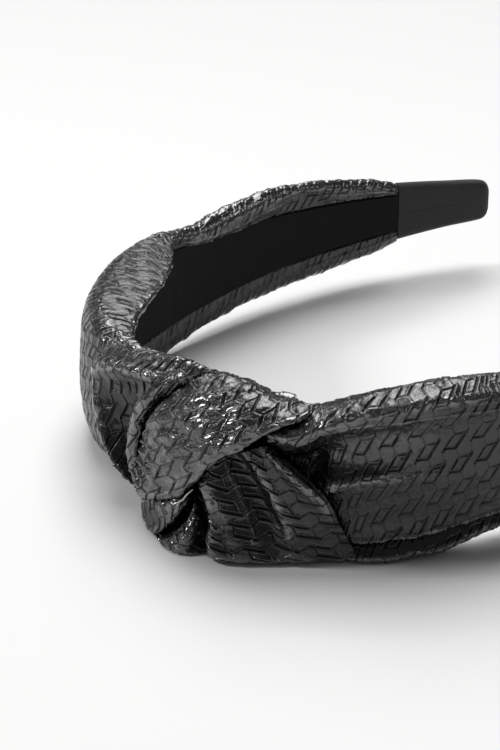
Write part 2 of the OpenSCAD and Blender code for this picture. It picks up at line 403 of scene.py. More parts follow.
def crumple(u, v, size, seed, turn):
    """Smooth random heights from -1 to 1: random values on a turned square lattice, joined by smooth steps."""
    values = np.random.default_rng(seed).uniform(-1, 1, (LATTICE, LATTICE))
    x = (u * math.cos(turn) - v * math.sin(turn)) / size
    y = (u * math.sin(turn) + v * math.cos(turn)) / size
    i, j = np.floor(x).astype(int), np.floor(y).astype(int)
    f, g = (k * k * (3 - 2 * k) for k in (x - i, y - j))
    a, b, c, d = (values[(i + p) % LATTICE, (j + q) % LATTICE] for p in (0, 1) for q in (0, 1))
    return (a * (1 - g) + b * g) * (1 - f) + (c * (1 - g) + d * g) * f


def crumples(sheet, layers):
    """Heights of crumpled leather in mm: the sum of layers, each with its height, size, seed and turn."""
    return sum(height * crumple(sheet.u, sheet.v, size, seed, turn) for height, size, seed, turn in layers)


CREASE_LONG, CREASE_WIDE, PORE, PATCH = 0.0012, 0.0026, 0.00035, 0.007
leather, start, shader = finish("embossed_leather", {"Specular IOR Level": 0.53, "Coat Roughness": 0.12,
                                                     "Coat IOR": 2.1})
groove_and_shade = start.node("ShaderNodeAttribute", {"attribute_name": "groove_and_shade"}, out="Fac")
wrinkled = start.node("ShaderNodeAttribute", {"attribute_name": "wrinkled"}, out="Fac")
flat = start.node("ShaderNodeUVMap", {"uv_map": "Flat"})
scaled = start.node("ShaderNodeVectorMath", {"operation": "MULTIPLY"},
                    {0: flat, 1: (1 / CREASE_LONG, 1 / CREASE_WIDE, 1)})
creases = start.node("ShaderNodeTexNoise", {}, {"Vector": scaled, "Scale": 1.0, "Detail": 2.0,
                                                "Roughness": 0.55, "Distortion": 0.9})
pores, patches = noise(start, PORE), noise(start, PATCH)
# Lighter colour on crests and in wrinkled zones: partly wear, partly a painted sheen.
wear_and_sheen = wrinkled * (patches * 0.9 + 0.35)
# The colour is darker in the pressed grooves: painted shade.
tint_with_painted_light = (patches * 0.3 + wear_and_sheen * 0.5 + pores * 0.2) * (1 - groove_and_shade * 0.85)
feed(start, shader,
     colour=tint_with_painted_light.mix((0.002, 0.002, 0.0022, 1), (0.016, 0.016, 0.0165, 1)),
     roughness=0.22 + groove_and_shade * 0.3 + pores * 0.1 - wear_and_sheen * 0.06,
     coat=(wear_and_sheen + 0.08) * (1 - groove_and_shade),
     bump=pores * 0.00004 + creases * (wear_and_sheen * 0.0021 + 0.00016) + patches * 0.0001)
BACK_STEP = 12
LUMPS = ((0.16, 2.6, 5, 0.6), (0.12, 1.1, 6, 1.9))


def leather_run(name, sheet, offset=(0, 0), folds=0.0, thick=0.9, zones=()):
    """A run of the leather: its sheet, raised by its own folds, crumpled a little, with the braid pressed in.
    It is more wrinkled on its crests and in zones, each a band place x, z with a radius and a strength, and its
    colour is lighter there, partly as wear and partly as painted sheen; it is darker in the pressed lines, as
    painted shade."""
    lines, relief = pressed_braid(sheet.u + offset[0], sheet.v + offset[1])
    wrinkled = sheet.crest
    for x, z, radius, strength in zones:
        away = np.hypot(sheet.band[..., 0] - x, sheet.band[..., 2] - z) / radius
        wrinkled = np.maximum(wrinkled, strength * np.exp(-away ** 2))
    lumps = crumples(sheet, LUMPS) * (0.4 + 1.2 * wrinkled)
    raised = folds + lumps + (1 - 0.2 * wrinkled) * relief
    run = skin(name, sheet, thick, raised, BACK_STEP, {"groove_and_shade": lines, "wrinkled": wrinkled})
    run.data.materials.append(leather)
    return run


CENTRE_X = [-40, -30, -15, -5, 2, 7]
CENTRE_PROFILE = [(0.3, -9.6), (0.1, -12), (0.5, -14.4), (2.0, -15.2), (3.4, -14.4), (3.7, -11), (3.75, -4),
                  (3.75, 4), (3.7, 11), (3.4, 14.4), (2.0, 15.2), (0.5, 14.4), (0.1, 12), (0.3, 9.6)]


def cover_net(ribs):
    """Net of a cover: at each station x it goes through that rib's places h, z."""
    return np.array([[(x, h, z) for h, z in rib] for x, rib in ribs])


sheet = Sheet(cover_net([(x, CENTRE_PROFILE) for x in CENTRE_X]), 200, 133)
centre = leather_run("cover_centre_leather", sheet, thick=0.4)
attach(centre, "crown")
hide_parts("cover_centre")

# Leather over the +X arm.
# The strip beside the knot: a rolled upper edge with a curled end, a hollow under it, a long ridge, a broad
# face, and a second layer folded out below. It smooths out along the arm and is gathered and glued at its end.
RIGHT_RIBS = [
    (4, [(0.3, -9.6), (0.1, -12), (0.6, -14), (2, -15), (3.6, -14.5), (4.2, -12), (4.6, -10), (4.6, -7), (4.6, -4),
         (4.6, -1), (4.4, 2), (4.8, 4.4), (7, 6.2), (9, 8.4), (9, 10.6), (4, 12.2), (0.4, 12.2), (0.3, 9.6)]),
    (7, [(0.3, -9.6), (0.1, -12.4), (0.7, -15), (2.4, -16), (4, -15), (4.2, -12.4), (4.8, -10.5), (5, -8), (5, -5),
         (4.8, -2), (4.2, 1.4), (4.2, 3.6), (7.6, 5.4), (10.2, 8.4), (10.4, 11), (6, 12.6), (0.4, 12.8),
         (0.3, 9.6)]),
    (10, [(0.3, -9.6), (0.1, -12.8), (0.7, -15.8), (2.6, -16.8), (4.4, -15.6), (4.3, -12.8), (5.2, -11.5),
          (5.4, -8.6), (5.4, -5.4), (5.4, -2), (4.2, 1), (4, 4.2), (7.4, 6.4), (10.2, 9.2), (10, 12.2), (5, 13.4),
          (0.4, 13), (0.3, 9.6)]),
    (12.5, [(0.3, -9.6), (0.1, -12.9), (0.7, -16.1), (4.6, -17.1), (6.4, -16), (3.9, -12.6), (5.8, -12.4),
            (5.8, -8.8), (6.2, -5), (7.2, -1.4), (4.4, 1.8), (4, 5), (6.6, 7.8), (9.8, 10.6), (9.2, 13.4),
            (4.6, 14.6), (0.3, 13.4), (0.3, 9.6)]),
    (15, [(0.3, -9.6), (0.1, -13), (0.7, -16.4), (5.6, -17.3), (7.4, -16.2), (3.6, -12.4), (6.4, -13.2), (6.4, -9),
          (7, -4.6), (8.4, -0.4), (5.6, 2.6), (5, 5.8), (6.6, 8.8), (9.4, 11.8), (8.8, 14.4), (4.2, 15.6),
          (0.2, 14.2), (0.3, 9.6)]),
    (20, [(0.3, -9.6), (0.1, -13), (1, -16.9), (6.4, -17.5), (8.3, -16.3), (4.8, -12.6), (7.2, -13.6), (7, -9),
          (7.4, -4), (8.4, 0.8), (6.8, 3.4), (6.4, 6.6), (6.8, 10), (9.1, 13.2), (8.5, 16.2), (4.4, 17.5),
          (0.2, 15.4), (0.3, 9.6)]),
    (26, [(0.3, -9.6), (0.1, -13), (0.8, -16.6), (6, -17.5), (8, -16.2), (4.8, -11.8), (7.1, -12.8), (7, -8.4),
          (7.4, -3.6), (8.1, 1), (7.3, 4.2), (6.9, 7.4), (7.1, 10.4), (9, 14), (8.5, 17.2), (4, 18.8), (0.2, 16.4),
          (0.3, 9.6)]),
    (34, [(0.3, -9.6), (0.1, -13), (0.8, -15.6), (5.4, -16.6), (7.5, -15.1), (4.7, -10.8), (6.9, -11.6), (7, -7.4),
          (7.4, -3), (7.8, 1.2), (7.6, 4.6), (7.5, 8), (7.8, 11), (8.7, 14.8), (8.1, 18), (3.6, 19.8), (0, 17.4),
          (0.3, 9.6)]),
    (44, [(0.3, -9.6), (0.1, -11.8), (0.9, -13.4), (4.6, -13.9), (6.9, -12.6), (4.9, -8.8), (6.8, -9.7), (7, -6.4),
          (7.3, -2.4), (7.6, 1.6), (7.7, 5), (7.7, 8.4), (7.9, 11), (8.5, 14.6), (7.7, 17.6), (3.2, 19.2),
          (0, 17.2), (0.3, 9.6)]),
    (56, [(0.3, -9.5), (0.1, -11.6), (0.8, -13), (3.6, -13.5), (6.2, -12.2), (5.2, -8.6), (6.4, -8.8), (6.8, -5.6),
          (7, -2), (7.2, 1.8), (7.2, 5), (7.1, 8), (7, 10.6), (7.6, 13.8), (6.8, 16.4), (2.6, 17.8), (0.2, 15.4),
          (0.3, 9.5)]),
    (75, [(0.3, -9.2), (0.1, -12), (0.8, -14.2), (2.6, -14.8), (4.6, -13.2), (5.4, -10), (6, -7.8), (6.2, -5),
          (6.4, -1.6), (6.5, 2), (6.4, 5.4), (6, 8.6), (5.6, 11.4), (4.8, 13.8), (3.2, 15), (1.6, 14.6),
          (0.4, 12.6), (0.3, 9.2)]),
    (95, [(0.3, -8.2), (0.1, -10.6), (0.7, -12.6), (2.4, -13.2), (4.2, -12), (5.2, -9.4), (5.8, -7), (6.2, -4.4),
          (5.9, -1.4), (6.2, 1.6), (6.2, 4.6), (5.6, 7.4), (5.3, 10), (4.4, 12.2), (3, 13.4), (1.5, 13), (0.4, 11),
          (0.3, 8.2)]),
    (114, [(0.3, -7), (0.1, -9.2), (0.7, -10.8), (2.2, -11.4), (3.8, -10.6), (4.8, -8.4), (5.4, -6.2), (5, -3.8),
           (5.6, -1.2), (5.2, 1.4), (5.7, 4), (5.1, 6.4), (4.8, 8.6), (4, 10.6), (2.8, 11.8), (1.4, 11.4),
           (0.4, 9.6), (0.3, 7)]),
    (128, [(0.3, -5.6), (0.1, -7.8), (0.6, -9.6), (2, -10.3), (3.4, -9.6), (4.4, -7.4), (4.9, -5.4), (4.2, -3.4),
           (5, -1), (4.3, 1.2), (4.9, 3.4), (4.2, 5.4), (4.3, 7.6), (3.6, 9.4), (2.4, 10.4), (1.2, 9.8), (0.4, 8),
           (0.3, 5.6)]),
    (135, [(0.3, -5.2), (0.1, -7), (0.5, -8.6), (1.8, -9.2), (3.1, -8.6), (4.1, -6.6), (4.3, -4.8), (3.6, -3),
           (4.4, -0.9), (3.6, 1), (4.4, 3), (3.6, 4.8), (4, 6.8), (3.2, 8.4), (2.2, 9.2), (1, 8.6), (0.4, 7),
           (0.3, 5.2)]),
    (137.4, [(0.3, -5), (0.1, -6.6), (0.5, -8), (1.6, -8.6), (2.8, -8), (3.5, -6.2), (3.6, -4.6), (3.3, -2.8),
             (3.6, -0.8), (3.3, 1), (3.6, 2.8), (3.3, 4.4), (3.5, 6.2), (2.9, 7.8), (1.9, 8.6), (0.9, 8),
             (0.4, 6.6), (0.3, 5)]),
]
COVER_SHARE = [0.3, 0.4, 0.5, 0.7, 1, 1, 1, 1, 1, 1, 1, 1, 1, 1, 1, 0.7, 0.5, 0.3]
COVER_THICK = [0.25, 0.3, 0.5, 0.8, 0.9, 0.9, 0.9, 0.9, 0.9, 0.9, 0.9, 0.9, 0.9, 0.9, 0.8, 0.5, 0.3, 0.25]


def rows_of(sheet, first, last):
    """The part of a sheet between two of its rows."""
    part = copy.copy(sheet)
    vars(part).update({key: values[first:last] for key, values in vars(sheet).items()})
    return part


def cover_thickness(sheet):
    """Thin where the leather is pared for its glued edge inside, and full outside."""
    return np.interp(sheet.w, np.linspace(0, 1, len(COVER_THICK)), COVER_THICK)


def arm_leather(side, sheet, lengths, zones=()):
    """An arm's leather in two lengths that meet on one row: each is a name, its first and last row, its cut
    and, where it tapers, the cut's area. The cut and its area are not used."""
    for name, first, last, cut, area in lengths:
        part = rows_of(sheet, first, last)
        run = leather_run(name, part, thick=cover_thickness(part), zones=zones)
        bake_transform(run)
        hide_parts("cover_" + side)


RIGHT_ROWS = [1, 1, 1, 1, 1, 1, 1, 1, 0.8, 0.5, 0.45, 0.45, 0.5, 0.6, 0.8, 1]
sheet = Sheet(cover_net(RIGHT_RIBS), 600, 301, RIGHT_ROWS, COVER_SHARE, anchor=0.68)
arm_leather("right", sheet, (("cover_right_leather", 0, 301, (0.06, 0.06), None),
                             ("cover_right_end", 300, 600, (0.06, 0.094), 0.0044)),
            zones=((12, 9, 9, 0.8), (24, 11, 7, 0.5)))

# Leather over the -X arm.
# The same strip on the other side: pinched beside the knot, then loose, with a broad smooth top that hangs
# in over the ribbon. Farther on its upper edge rolls over the core in two waves, to a gathered end.
LEFT_RIBS = [
    (-34, [(0.3, -9.6), (0.1, -12), (0.6, -13.4), (2, -14), (3.4, -13), (4.2, -10), (4.4, -6), (4.4, -2), (4.4, 2),
           (4.3, 5), (4.2, 8), (4, 11), (3.4, 13), (2.2, 14), (1, 13.8), (0.3, 12.8), (0.2, 11.4), (0.3, 9.6)]),
    (-40, [(0.3, -9.6), (0.1, -12.4), (0.6, -14.4), (2.2, -15.4), (4.2, -14), (5.2, -10.5), (5.6, -6.5),
           (5.8, -2.5), (5.6, 1.8), (5.4, 5.6), (5, 9.2), (4.2, 11.4), (2.6, 12.8), (0.6, 13), (-1, 12.6),
           (-1.2, 11.8), (-0.4, 10.8), (0.3, 9.6)]),
    (-48, [(0.3, -9.6), (0.1, -12.8), (0.7, -16), (2.6, -17.2), (4.8, -15.4), (6.2, -11.5), (6.8, -7), (7, -2.8),
           (6.8, 1.8), (6.6, 6), (6.2, 9.8), (5, 13), (2.8, 14.8), (-0.4, 15), (-3.8, 14.4), (-4.4, 13.2),
           (-1.4, 11.4), (0.3, 9.6)]),
    (-56, [(0.3, -9.6), (0.1, -13), (0.8, -16.6), (2.8, -17.5), (5, -15.8), (6.6, -11.8), (7.2, -7.2), (7.4, -2.8),
           (7.2, 2), (6.9, 6.4), (6.4, 10.2), (5, 13.4), (2.2, 15.4), (-2, 15.8), (-7, 15.2), (-7.8, 13.8),
           (-2.6, 11.6), (0.3, 9.6)]),
    (-66, [(0.3, -9.6), (0.1, -13), (0.8, -16.6), (2.8, -17.5), (5, -15.8), (6.4, -11.8), (6.8, -7.2), (6.8, -2.8),
           (6.6, 2.2), (6.4, 6.6), (5.9, 10.4), (4.4, 13.8), (1.2, 15.8), (-3.8, 16.2), (-9.6, 15.4), (-10.4, 14),
           (-3.6, 11.8), (0.3, 9.6)]),
    (-76, [(0.3, -9.6), (0.1, -13), (0.8, -16.6), (2.8, -17.5), (4.8, -15.8), (6, -11.8), (6.2, -7.2), (6.2, -2.8),
           (6, 2.4), (5.8, 6.8), (5.2, 10.8), (3.6, 14.2), (0.4, 16.2), (-4.6, 16.4), (-9.8, 15.4), (-10.4, 14),
           (-3.6, 11.8), (0.3, 9.6)]),
    (-86, [(0.3, -9.6), (0.1, -13), (0.8, -16.4), (2.8, -17.4), (4.6, -15.6), (5.6, -11.6), (5.8, -7), (5.8, -2.6),
           (5.6, 2.4), (5.3, 6.8), (4.7, 10.8), (3.2, 14.2), (0.4, 16.2), (-3.6, 16.2), (-7.4, 15), (-7.8, 13.4),
           (-2.8, 11.4), (0.3, 9.6)]),
    (-94, [(0.3, -9.4), (0.1, -13), (0.8, -16), (2.8, -17), (4.4, -15.2), (5.2, -11.4), (5.4, -7), (5.4, -2.4),
           (5.2, 2.2), (4.9, 6.6), (4.2, 10.8), (2.8, 14), (0.6, 15.7), (-1.8, 15.6), (-3.8, 14.2), (-3.6, 12.6),
           (-1.2, 10.8), (0.3, 9.4)]),
    (-101, [(0.3, -9.2), (0.1, -12.6), (0.8, -15.4), (2.6, -16.4), (4.2, -14.8), (5, -11), (5.2, -6.8), (5.1, -2.4),
            (4.8, 2), (4.4, 6), (3.8, 9.6), (3, 12.4), (1.8, 13.6), (0.6, 13.6), (-0.4, 12.6), (-0.3, 11.4),
            (0, 10.4), (0.3, 9.2)]),
    (-110, [(0.3, -8.6), (0.1, -12), (0.8, -14.6), (2.6, -15.4), (4.2, -14), (5, -10.4), (5.4, -6.4), (5.4, -2.2),
            (5.2, 1.8), (4.8, 5.4), (4.2, 8.6), (3.4, 11), (2.2, 12.4), (0.6, 12.4), (-0.9, 11), (-1.1, 9.4),
            (-0.5, 8.2), (0.3, 7.6)]),
    (-122, [(0.3, -8), (0.1, -11.2), (0.8, -13.6), (2.6, -14.4), (4.2, -13.2), (5.2, -9.8), (5.6, -6), (5.6, -2),
            (5.4, 1.8), (5, 5.4), (4.4, 8.8), (3.6, 11.6), (2.2, 13.2), (0.4, 13.2), (-1.3, 11.6), (-1.5, 9.2),
            (-0.6, 7.4), (0.3, 6.8)]),
    (-134, [(0.3, -7.4), (0.1, -10.6), (0.8, -12.8), (2.4, -13.6), (4, -12.4), (5, -9.2), (5.4, -5.6), (5.2, -1.8),
            (5.4, 1.8), (4.8, 5.4), (4.4, 9), (3.6, 12), (2.2, 13.9), (0.6, 13.9), (-1, 12.4), (-1.2, 10.2),
            (-0.5, 8.2), (0.3, 7.2)]),
    (-146, [(0.3, -6.8), (0.1, -9.8), (0.7, -12), (2.2, -12.8), (3.6, -11.8), (4.6, -8.8), (5, -5.2), (4.6, -1.6),
            (5, 1.8), (4.6, 5.2), (4.2, 8.4), (3.6, 11.2), (2.4, 13), (1.2, 13.2), (0.2, 12), (0.1, 10.4),
            (0.2, 8.6), (0.3, 6.8)]),
    (-158, [(0.3, -6.2), (0.1, -9), (0.7, -11.2), (2.2, -12), (3.6, -11), (4.6, -8.2), (4.9, -4.8), (4.4, -1.6),
            (4.9, 1.6), (4.3, 4.8), (4.4, 7.6), (3.6, 10), (2.4, 11.6), (0.8, 11.8), (-0.6, 10.4), (-0.8, 8.6),
            (-0.3, 6.8), (0.3, 6)]),
    (-168, [(0.3, -5.6), (0.1, -8), (0.6, -9.8), (2, -10.6), (3.3, -9.8), (4.2, -7.2), (4.4, -4.2), (3.8, -1.4),
            (4.5, 1.4), (3.8, 4.2), (4.2, 6.6), (3.4, 8.6), (2.2, 9.8), (0.8, 9.8), (-0.2, 8.6), (-0.3, 7.2),
            (0, 6), (0.3, 5.4)]),
    (-173.6, [(0.3, -5.1), (0.1, -7), (0.5, -8.4), (1.7, -9), (2.9, -8.4), (3.7, -6.4), (4, -3.8), (3.4, -1.2),
              (4.1, 1.2), (3.4, 3.8), (3.9, 5.8), (3, 7.2), (1.9, 8), (0.8, 8), (0.2, 7), (0.1, 6.2), (0.2, 5.6),
              (0.3, 5.1)]),
    (-175.3, [(0.3, -5), (0.1, -6.6), (0.5, -7.8), (1.5, -8.3), (2.6, -7.8), (3.3, -6), (3.5, -3.6), (3.3, -1.2),
              (3.5, 1.2), (3.3, 3.6), (3.4, 5.4), (2.8, 6.6), (1.8, 7.2), (0.8, 7.2), (0.3, 6.6), (0.2, 6),
              (0.2, 5.5), (0.3, 5)]),
]
LEFT_SHARE = [0.3, 0.4, 0.5, 0.7, 1, 1, 1, 1, 1, 1, 1, 1, 1, 1, 1, 0.8, 0.6, 0.4]
LEFT_ROWS = [1, 1, 1, 1, 1, 1, 0.9, 0.8, 0.8, 0.7, 0.6, 0.6, 0.6, 0.6, 0.7, 0.9, 1]
sheet = Sheet(cover_net(LEFT_RIBS), 600, 277, LEFT_ROWS, LEFT_SHARE)
sheet.u = -sheet.u
arm_leather("left", sheet, (("cover_left_leather", 0, 301, (0.062, 0.064), None),
                            ("cover_left_end", 300, 600, (0.06, 0.088), 0.0042)))

# Folded bundle of the knot.
# The strip from the -X arm, gathered into folds where it goes under the wrap: an edge that stands up beside
# the wrap, a rounded hump at the top, a dark hollow below it and a thin lip that falls away to the arm.
BUNDLE_RIBS = [
    [(-22.6, 5, -11.4), (-23.8, 7.6, -11.6), (-24.8, 8.2, -11.9), (-25.6, 7.6, -12.2), (-26.2, 6.6, -12.5),
     (-26.6, 6.8, -12.8), (-27.2, 7.2, -13), (-27.8, 4.6, -13.2)],
    [(-22.8, 5.2, -7.2), (-24, 8.4, -7.8), (-25.2, 9.2, -8), (-26.4, 8.4, -8.2), (-27.2, 6.4, -8.5), (-28, 6.4, -9),
     (-29.2, 9.6, -9.6), (-30.6, 5, -10.2)],
    [(-22.4, 5, -2), (-23.8, 8.4, -2.3), (-25.2, 9.4, -2.5), (-26.8, 8.6, -2.8), (-28, 6, -3), (-29.6, 5.2, -3.6),
     (-32.4, 10.2, -5.2), (-34.6, 5, -6.2)],
    [(-20.6, 4.6, 4.6), (-22, 8, 5), (-23.4, 9, 5), (-25, 8.4, 4.6), (-26.6, 6.2, 4), (-30, 5.2, 2.6),
     (-35.6, 9.8, 0), (-38.6, 5, -1.4)],
    [(-17.4, 4, 9.4), (-18.8, 7, 10.4), (-20.2, 8, 10.4), (-22, 7.6, 10), (-24, 6.2, 9.2), (-31, 6.4, 7.2),
     (-38.4, 9, 4.4), (-41.8, 4.6, 2.8)],
    [(-13.4, 3.2, 12.8), (-15, 5.6, 13.8), (-16.6, 6.6, 14), (-18.6, 6.6, 13.8), (-21, 7, 13.2), (-30, 8.4, 12.4),
     (-39.4, 8.4, 8.2), (-43, 4.4, 6.4)],
    [(-10, 2, 14.8), (-11.8, 3.6, 16), (-13.4, 4.4, 16.2), (-15.6, 4.8, 16.2), (-19, 5, 15.6), (-29.4, 5.8, 14.5),
     (-39.6, 6.4, 10.6), (-43.8, 3.8, 8.8)],
    [(-8, 1.2, 15.8), (-10, 1.8, 16.9), (-12, 2.2, 17.4), (-14.6, 2.6, 17.7), (-18, 2.8, 17.8), (-28.6, 3, 15.4),
     (-39.8, 4, 12.8), (-44.2, 3, 10.6)],
    [(-7.6, 0.2, 14.6), (-9.4, 0.2, 15.4), (-11.4, 0.1, 15.8), (-13.8, 0, 16.1), (-17, 0, 16.2), (-27.6, 0, 15.2),
     (-39, 1.4, 13.2), (-43.6, 1.8, 12)],
    [(-7.6, 0.5, 13.4), (-9, 0.3, 14), (-11, 0.2, 14.4), (-13.4, 0.2, 14.6), (-16.6, 0.2, 14.6), (-27, 0.4, 13.4),
     (-38, 1, 12.2), (-42.4, 1.2, 11.2)],
]
sheet = Sheet(BUNDLE_RIBS, 301, 229)
BUNDLE_ARC = 1.12
reach = np.linalg.norm(np.diff(sheet.band * [BUNDLE_ARC, 1, 0], axis=1), axis=-1)
sheet.u = np.cumsum(np.concatenate([sheet.band[:, :1, 0] * BUNDLE_ARC, -reach], 1), axis=1)
rise = np.linalg.norm(np.diff(sheet.band * [0, 1, 1], axis=0), axis=-1)
sheet.v = np.cumsum(np.concatenate([sheet.band[:1, :, 2], rise]), axis=0)
bundle = leather_run("knot_bundle_leather", sheet, offset=(1.0, 2.0))
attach(bundle, "crown")
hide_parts("knot_bundle")

# Lobe under the wrap.
# The turned end of the strip, a round cheek below the wrap's lower end, with a deep crease and one narrow
# pleat between it and the fan. Its end runs on under the fan, where it is tacked.
LOBE_RIBS = [
    [(-10.3, 9, -5.7), (-12.5, 9.5, -6.8), (-15.9, 9.5, -9.1), (-20.5, 8.5, -11.4), (-24.3, 7.5, -13.1),
     (-23.7, 3.5, -14.3)],
    [(-9.5, 10.5, -5.5), (-10.5, 12, -6.3), (-13, 12.6, -8.1), (-17.1, 11.8, -10.4), (-21.8, 9.6, -13.5),
     (-21.2, 5.6, -14.7)],
    [(-9.5, 10.6, -5.9), (-9.7, 12.6, -7.1), (-11.4, 13.8, -9.2), (-14.9, 13.2, -12.1), (-21, 10, -16.2),
     (-20.4, 6, -17.4)],
    [(-9.7, 10.2, -6.6), (-9.7, 12, -8.2), (-10.9, 13, -11), (-13.4, 13.2, -14), (-16.8, 12.6, -17),
     (-16.4, 8.6, -17.4)],
    [(-10.4, 9, -7.6), (-11.2, 8.6, -10.8), (-12.5, 9.2, -14.2), (-14.2, 11, -16.4), (-15.4, 13, -17.3),
     (-15, 9, -17.4)],
    [(-9.5, 10, -7), (-8.6, 11.5, -8.5), (-8.9, 13.2, -11.2), (-10.3, 14.4, -13.7), (-13, 15, -17.3),
     (-12.7, 11, -17.4)],
    [(-9.2, 9.8, -7), (-7.9, 11, -8.9), (-7.4, 12.8, -11.5), (-7.8, 14.6, -13.9), (-9.5, 16, -17.1),
     (-9.2, 12, -17.4)],
    [(-9.5, 8.6, -7.5), (-8.4, 8.4, -10.1), (-7.5, 9, -12.9), (-6.8, 11, -15.3), (-7, 14.4, -17.3),
     (-6.7, 10.4, -17.4)],
    [(-9.4, 8, -7.7), (-7.9, 7.8, -10.4), (-6.8, 8, -13.6), (-6, 9.5, -16.3), (-5.7, 12.6, -17.3),
     (-5.4, 8.6, -17.4)],
    [(-6.6, 6.6, -7.4), (-4.8, 6.2, -10.2), (-3.6, 6.2, -13.4), (-3, 6.8, -15.8), (-2.8, 8.4, -16.8),
     (-2.6, 5.6, -17.2)],
]
sheet = Sheet(LOBE_RIBS, 241, 181)
LOBE_MIDDLE = 110
reach = np.linalg.norm(np.diff(sheet.points, axis=1), axis=-1)
run = np.linalg.norm(np.diff(sheet.points[:, LOBE_MIDDLE], axis=0), axis=-1)
sheet.u = np.concatenate([0 * reach[:, :1], -np.cumsum(reach, axis=1)], 1)
sheet.v = 0 * sheet.u - np.concatenate([[0], np.cumsum(run)])[:, None]
lobe = leather_run("knot_lobe_leather", sheet, offset=(0.5, 1.2))
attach(lobe, "crown")
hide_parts("knot_lobe")

# Pleated fan.
# The strip's other end, that spreads from under the wrap down to the lower edge: a rounded fold on its left,
# a dark valley and a flat face whose free edge lies on the +X cover.
FAN_RIBS = [
    [(-8, 8.6, -0.6), (-8.2, 9, -4), (-6.9, 9.4, -6.2), (-6.2, 9.4, -9.2), (-5.6, 10.6, -13), (-5.4, 11.6, -16.4),
     (-5, 9, -17.3)],
    [(-7.2, 10.8, 0), (-7.2, 12, -3.2), (-5.5, 13, -5.6), (-4.7, 13.4, -8.8), (-4.4, 14.8, -13),
     (-3.9, 15.4, -16.6), (-3.6, 12, -17.4)],
    [(-5.6, 11.4, 2), (-4.9, 12.6, -1.6), (-3.1, 13.5, -5.2), (-1.7, 13.8, -9), (-1, 14.6, -13),
     (-0.4, 14.9, -16.6), (-0.2, 11.5, -17.4)],
    [(-3.6, 10.2, 3.2), (-2.2, 10.8, 0), (0, 11, -4.4), (1.6, 11.6, -8.8), (2.6, 12.8, -13), (3.2, 13, -16.6),
     (3, 10, -17.4)],
    [(-2.2, 9, 4.2), (0, 8.6, 1.2), (2.4, 8.4, -3.4), (4.2, 9.2, -8.2), (5.6, 10.8, -12.8), (6.2, 11.8, -16.6),
     (5.8, 9, -17.4)],
    [(0, 9.6, 5.4), (2.2, 10.2, 2.6), (5, 10.8, -2.2), (7.4, 11.2, -7.4), (9, 11, -12.6), (9.8, 10.7, -16.6),
     (9.4, 7.8, -17.4)],
    [(2.2, 9.6, 6.6), (4.6, 10.4, 4.2), (8.2, 10.6, -0.6), (11, 10.2, -6), (13, 9.6, -12), (14.2, 8.9, -16.4),
     (13.6, 7, -17.3)],
    [(3.4, 9.4, 7.2), (6.2, 11.4, 5.2), (10, 11.6, 1.2), (13.1, 10.2, -3.6), (15.2, 8.9, -9.8), (17.2, 8.2, -16.3),
     (16.4, 6.6, -17.2)],
    [(4.2, 8.4, 7.4), (7.1, 9.6, 5.2), (11.1, 9.6, 1.5), (14.3, 9, -3), (16.6, 8.3, -9.2), (19.4, 7.6, -16.2),
     (18.6, 6.2, -17.1)],
]
sheet = Sheet(FAN_RIBS, 241, 229)
FAN_ARC, FAN_TURN = 1.15, math.radians(20)
reach = np.linalg.norm(np.diff(sheet.band * [FAN_ARC, 1, 0], axis=0), axis=-1)
reach = np.cumsum(np.concatenate([sheet.band[:1, :, 0] * FAN_ARC, reach]), axis=0)
sheet.u = reach * math.sin(FAN_TURN) - sheet.band[..., 2] * math.cos(FAN_TURN)
sheet.v = reach * math.cos(FAN_TURN) + sheet.band[..., 2] * math.sin(FAN_TURN)
fan = leather_run("knot_fan_leather", sheet, offset=(0.4, 1.6))
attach(fan, "crown")
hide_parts("knot_fan")

# Wrap of the knot.
# The run that holds the knot together: it comes over the upper edge, crosses the front as a broad dome with
# a rolled lower edge, and is folded under at its lower end in a few pinched pleats.
WRAP_LOW = [(11.2, 6.4, 13.8), (9.9, 8.8, 13.8), (8.5, 10.6, 13.6), (5, 12.8, 11.8), (1.4, 14.2, 8.5),
            (-1.6, 15, 6.3), (-4.1, 15.2, 3.3), (-6.5, 15, -0.2), (-9.4, 14.2, -4.8), (-13.1, 13.4, -7.6),
            (-17.6, 12.4, -9.9), (-21, 11, -11.4)]
WRAP_UP = [(10.9, 4, 14.9), (7.8, 3.6, 15.2), (3.7, 3, 15.6), (-3.8, 2.4, 17.4), (-11.1, 3, 16.6),
           (-14.4, 5.2, 13.6), (-17.4, 7.2, 10.4), (-19.7, 8.8, 6.4), (-21.2, 9.8, 1), (-22.2, 10, -3.8),
           (-22.6, 10.2, -7.4), (-22.9, 10.2, -10.4)]
WRAP_DOME = [0.2, 0.4, 0.8, 1.6, 2.4, 2.8, 2.8, 2.6, 2.2, 1.7, 1.1, 0.5]
WRAP_PROFILE = [(0.04, -3.4, -0.6), (0, -1.4, -0.5), (0, -0.2, 0), (0.06, 0.35, 0.4), (0.18, 0.2, 0.3), (0.4, 0, 0),
                (0.65, 0, 0), (0.88, 0, 0), (1, -0.3, -0.2), (1.02, -2.2, -1.2), (1, -3, -3.6)]


def wrap_net(low, up, dome, profile):
    """Ribs from the lower edge to the upper: each place is its share of the way between the two edges, lifted
    by a flat dome and moved by the profile's own step out and up."""
    low, up, dome = np.array(low)[:, None], np.array(up)[:, None], np.array(dome)[:, None]
    share, out, rise = np.array(profile).T
    lift = dome * 4 * np.clip(share * (1 - share), 0, 1)
    step = np.stack([0 * lift, 0.4 * lift + out, 0.9 * lift + rise], -1)
    return low + share[:, None] * (up - low) + step


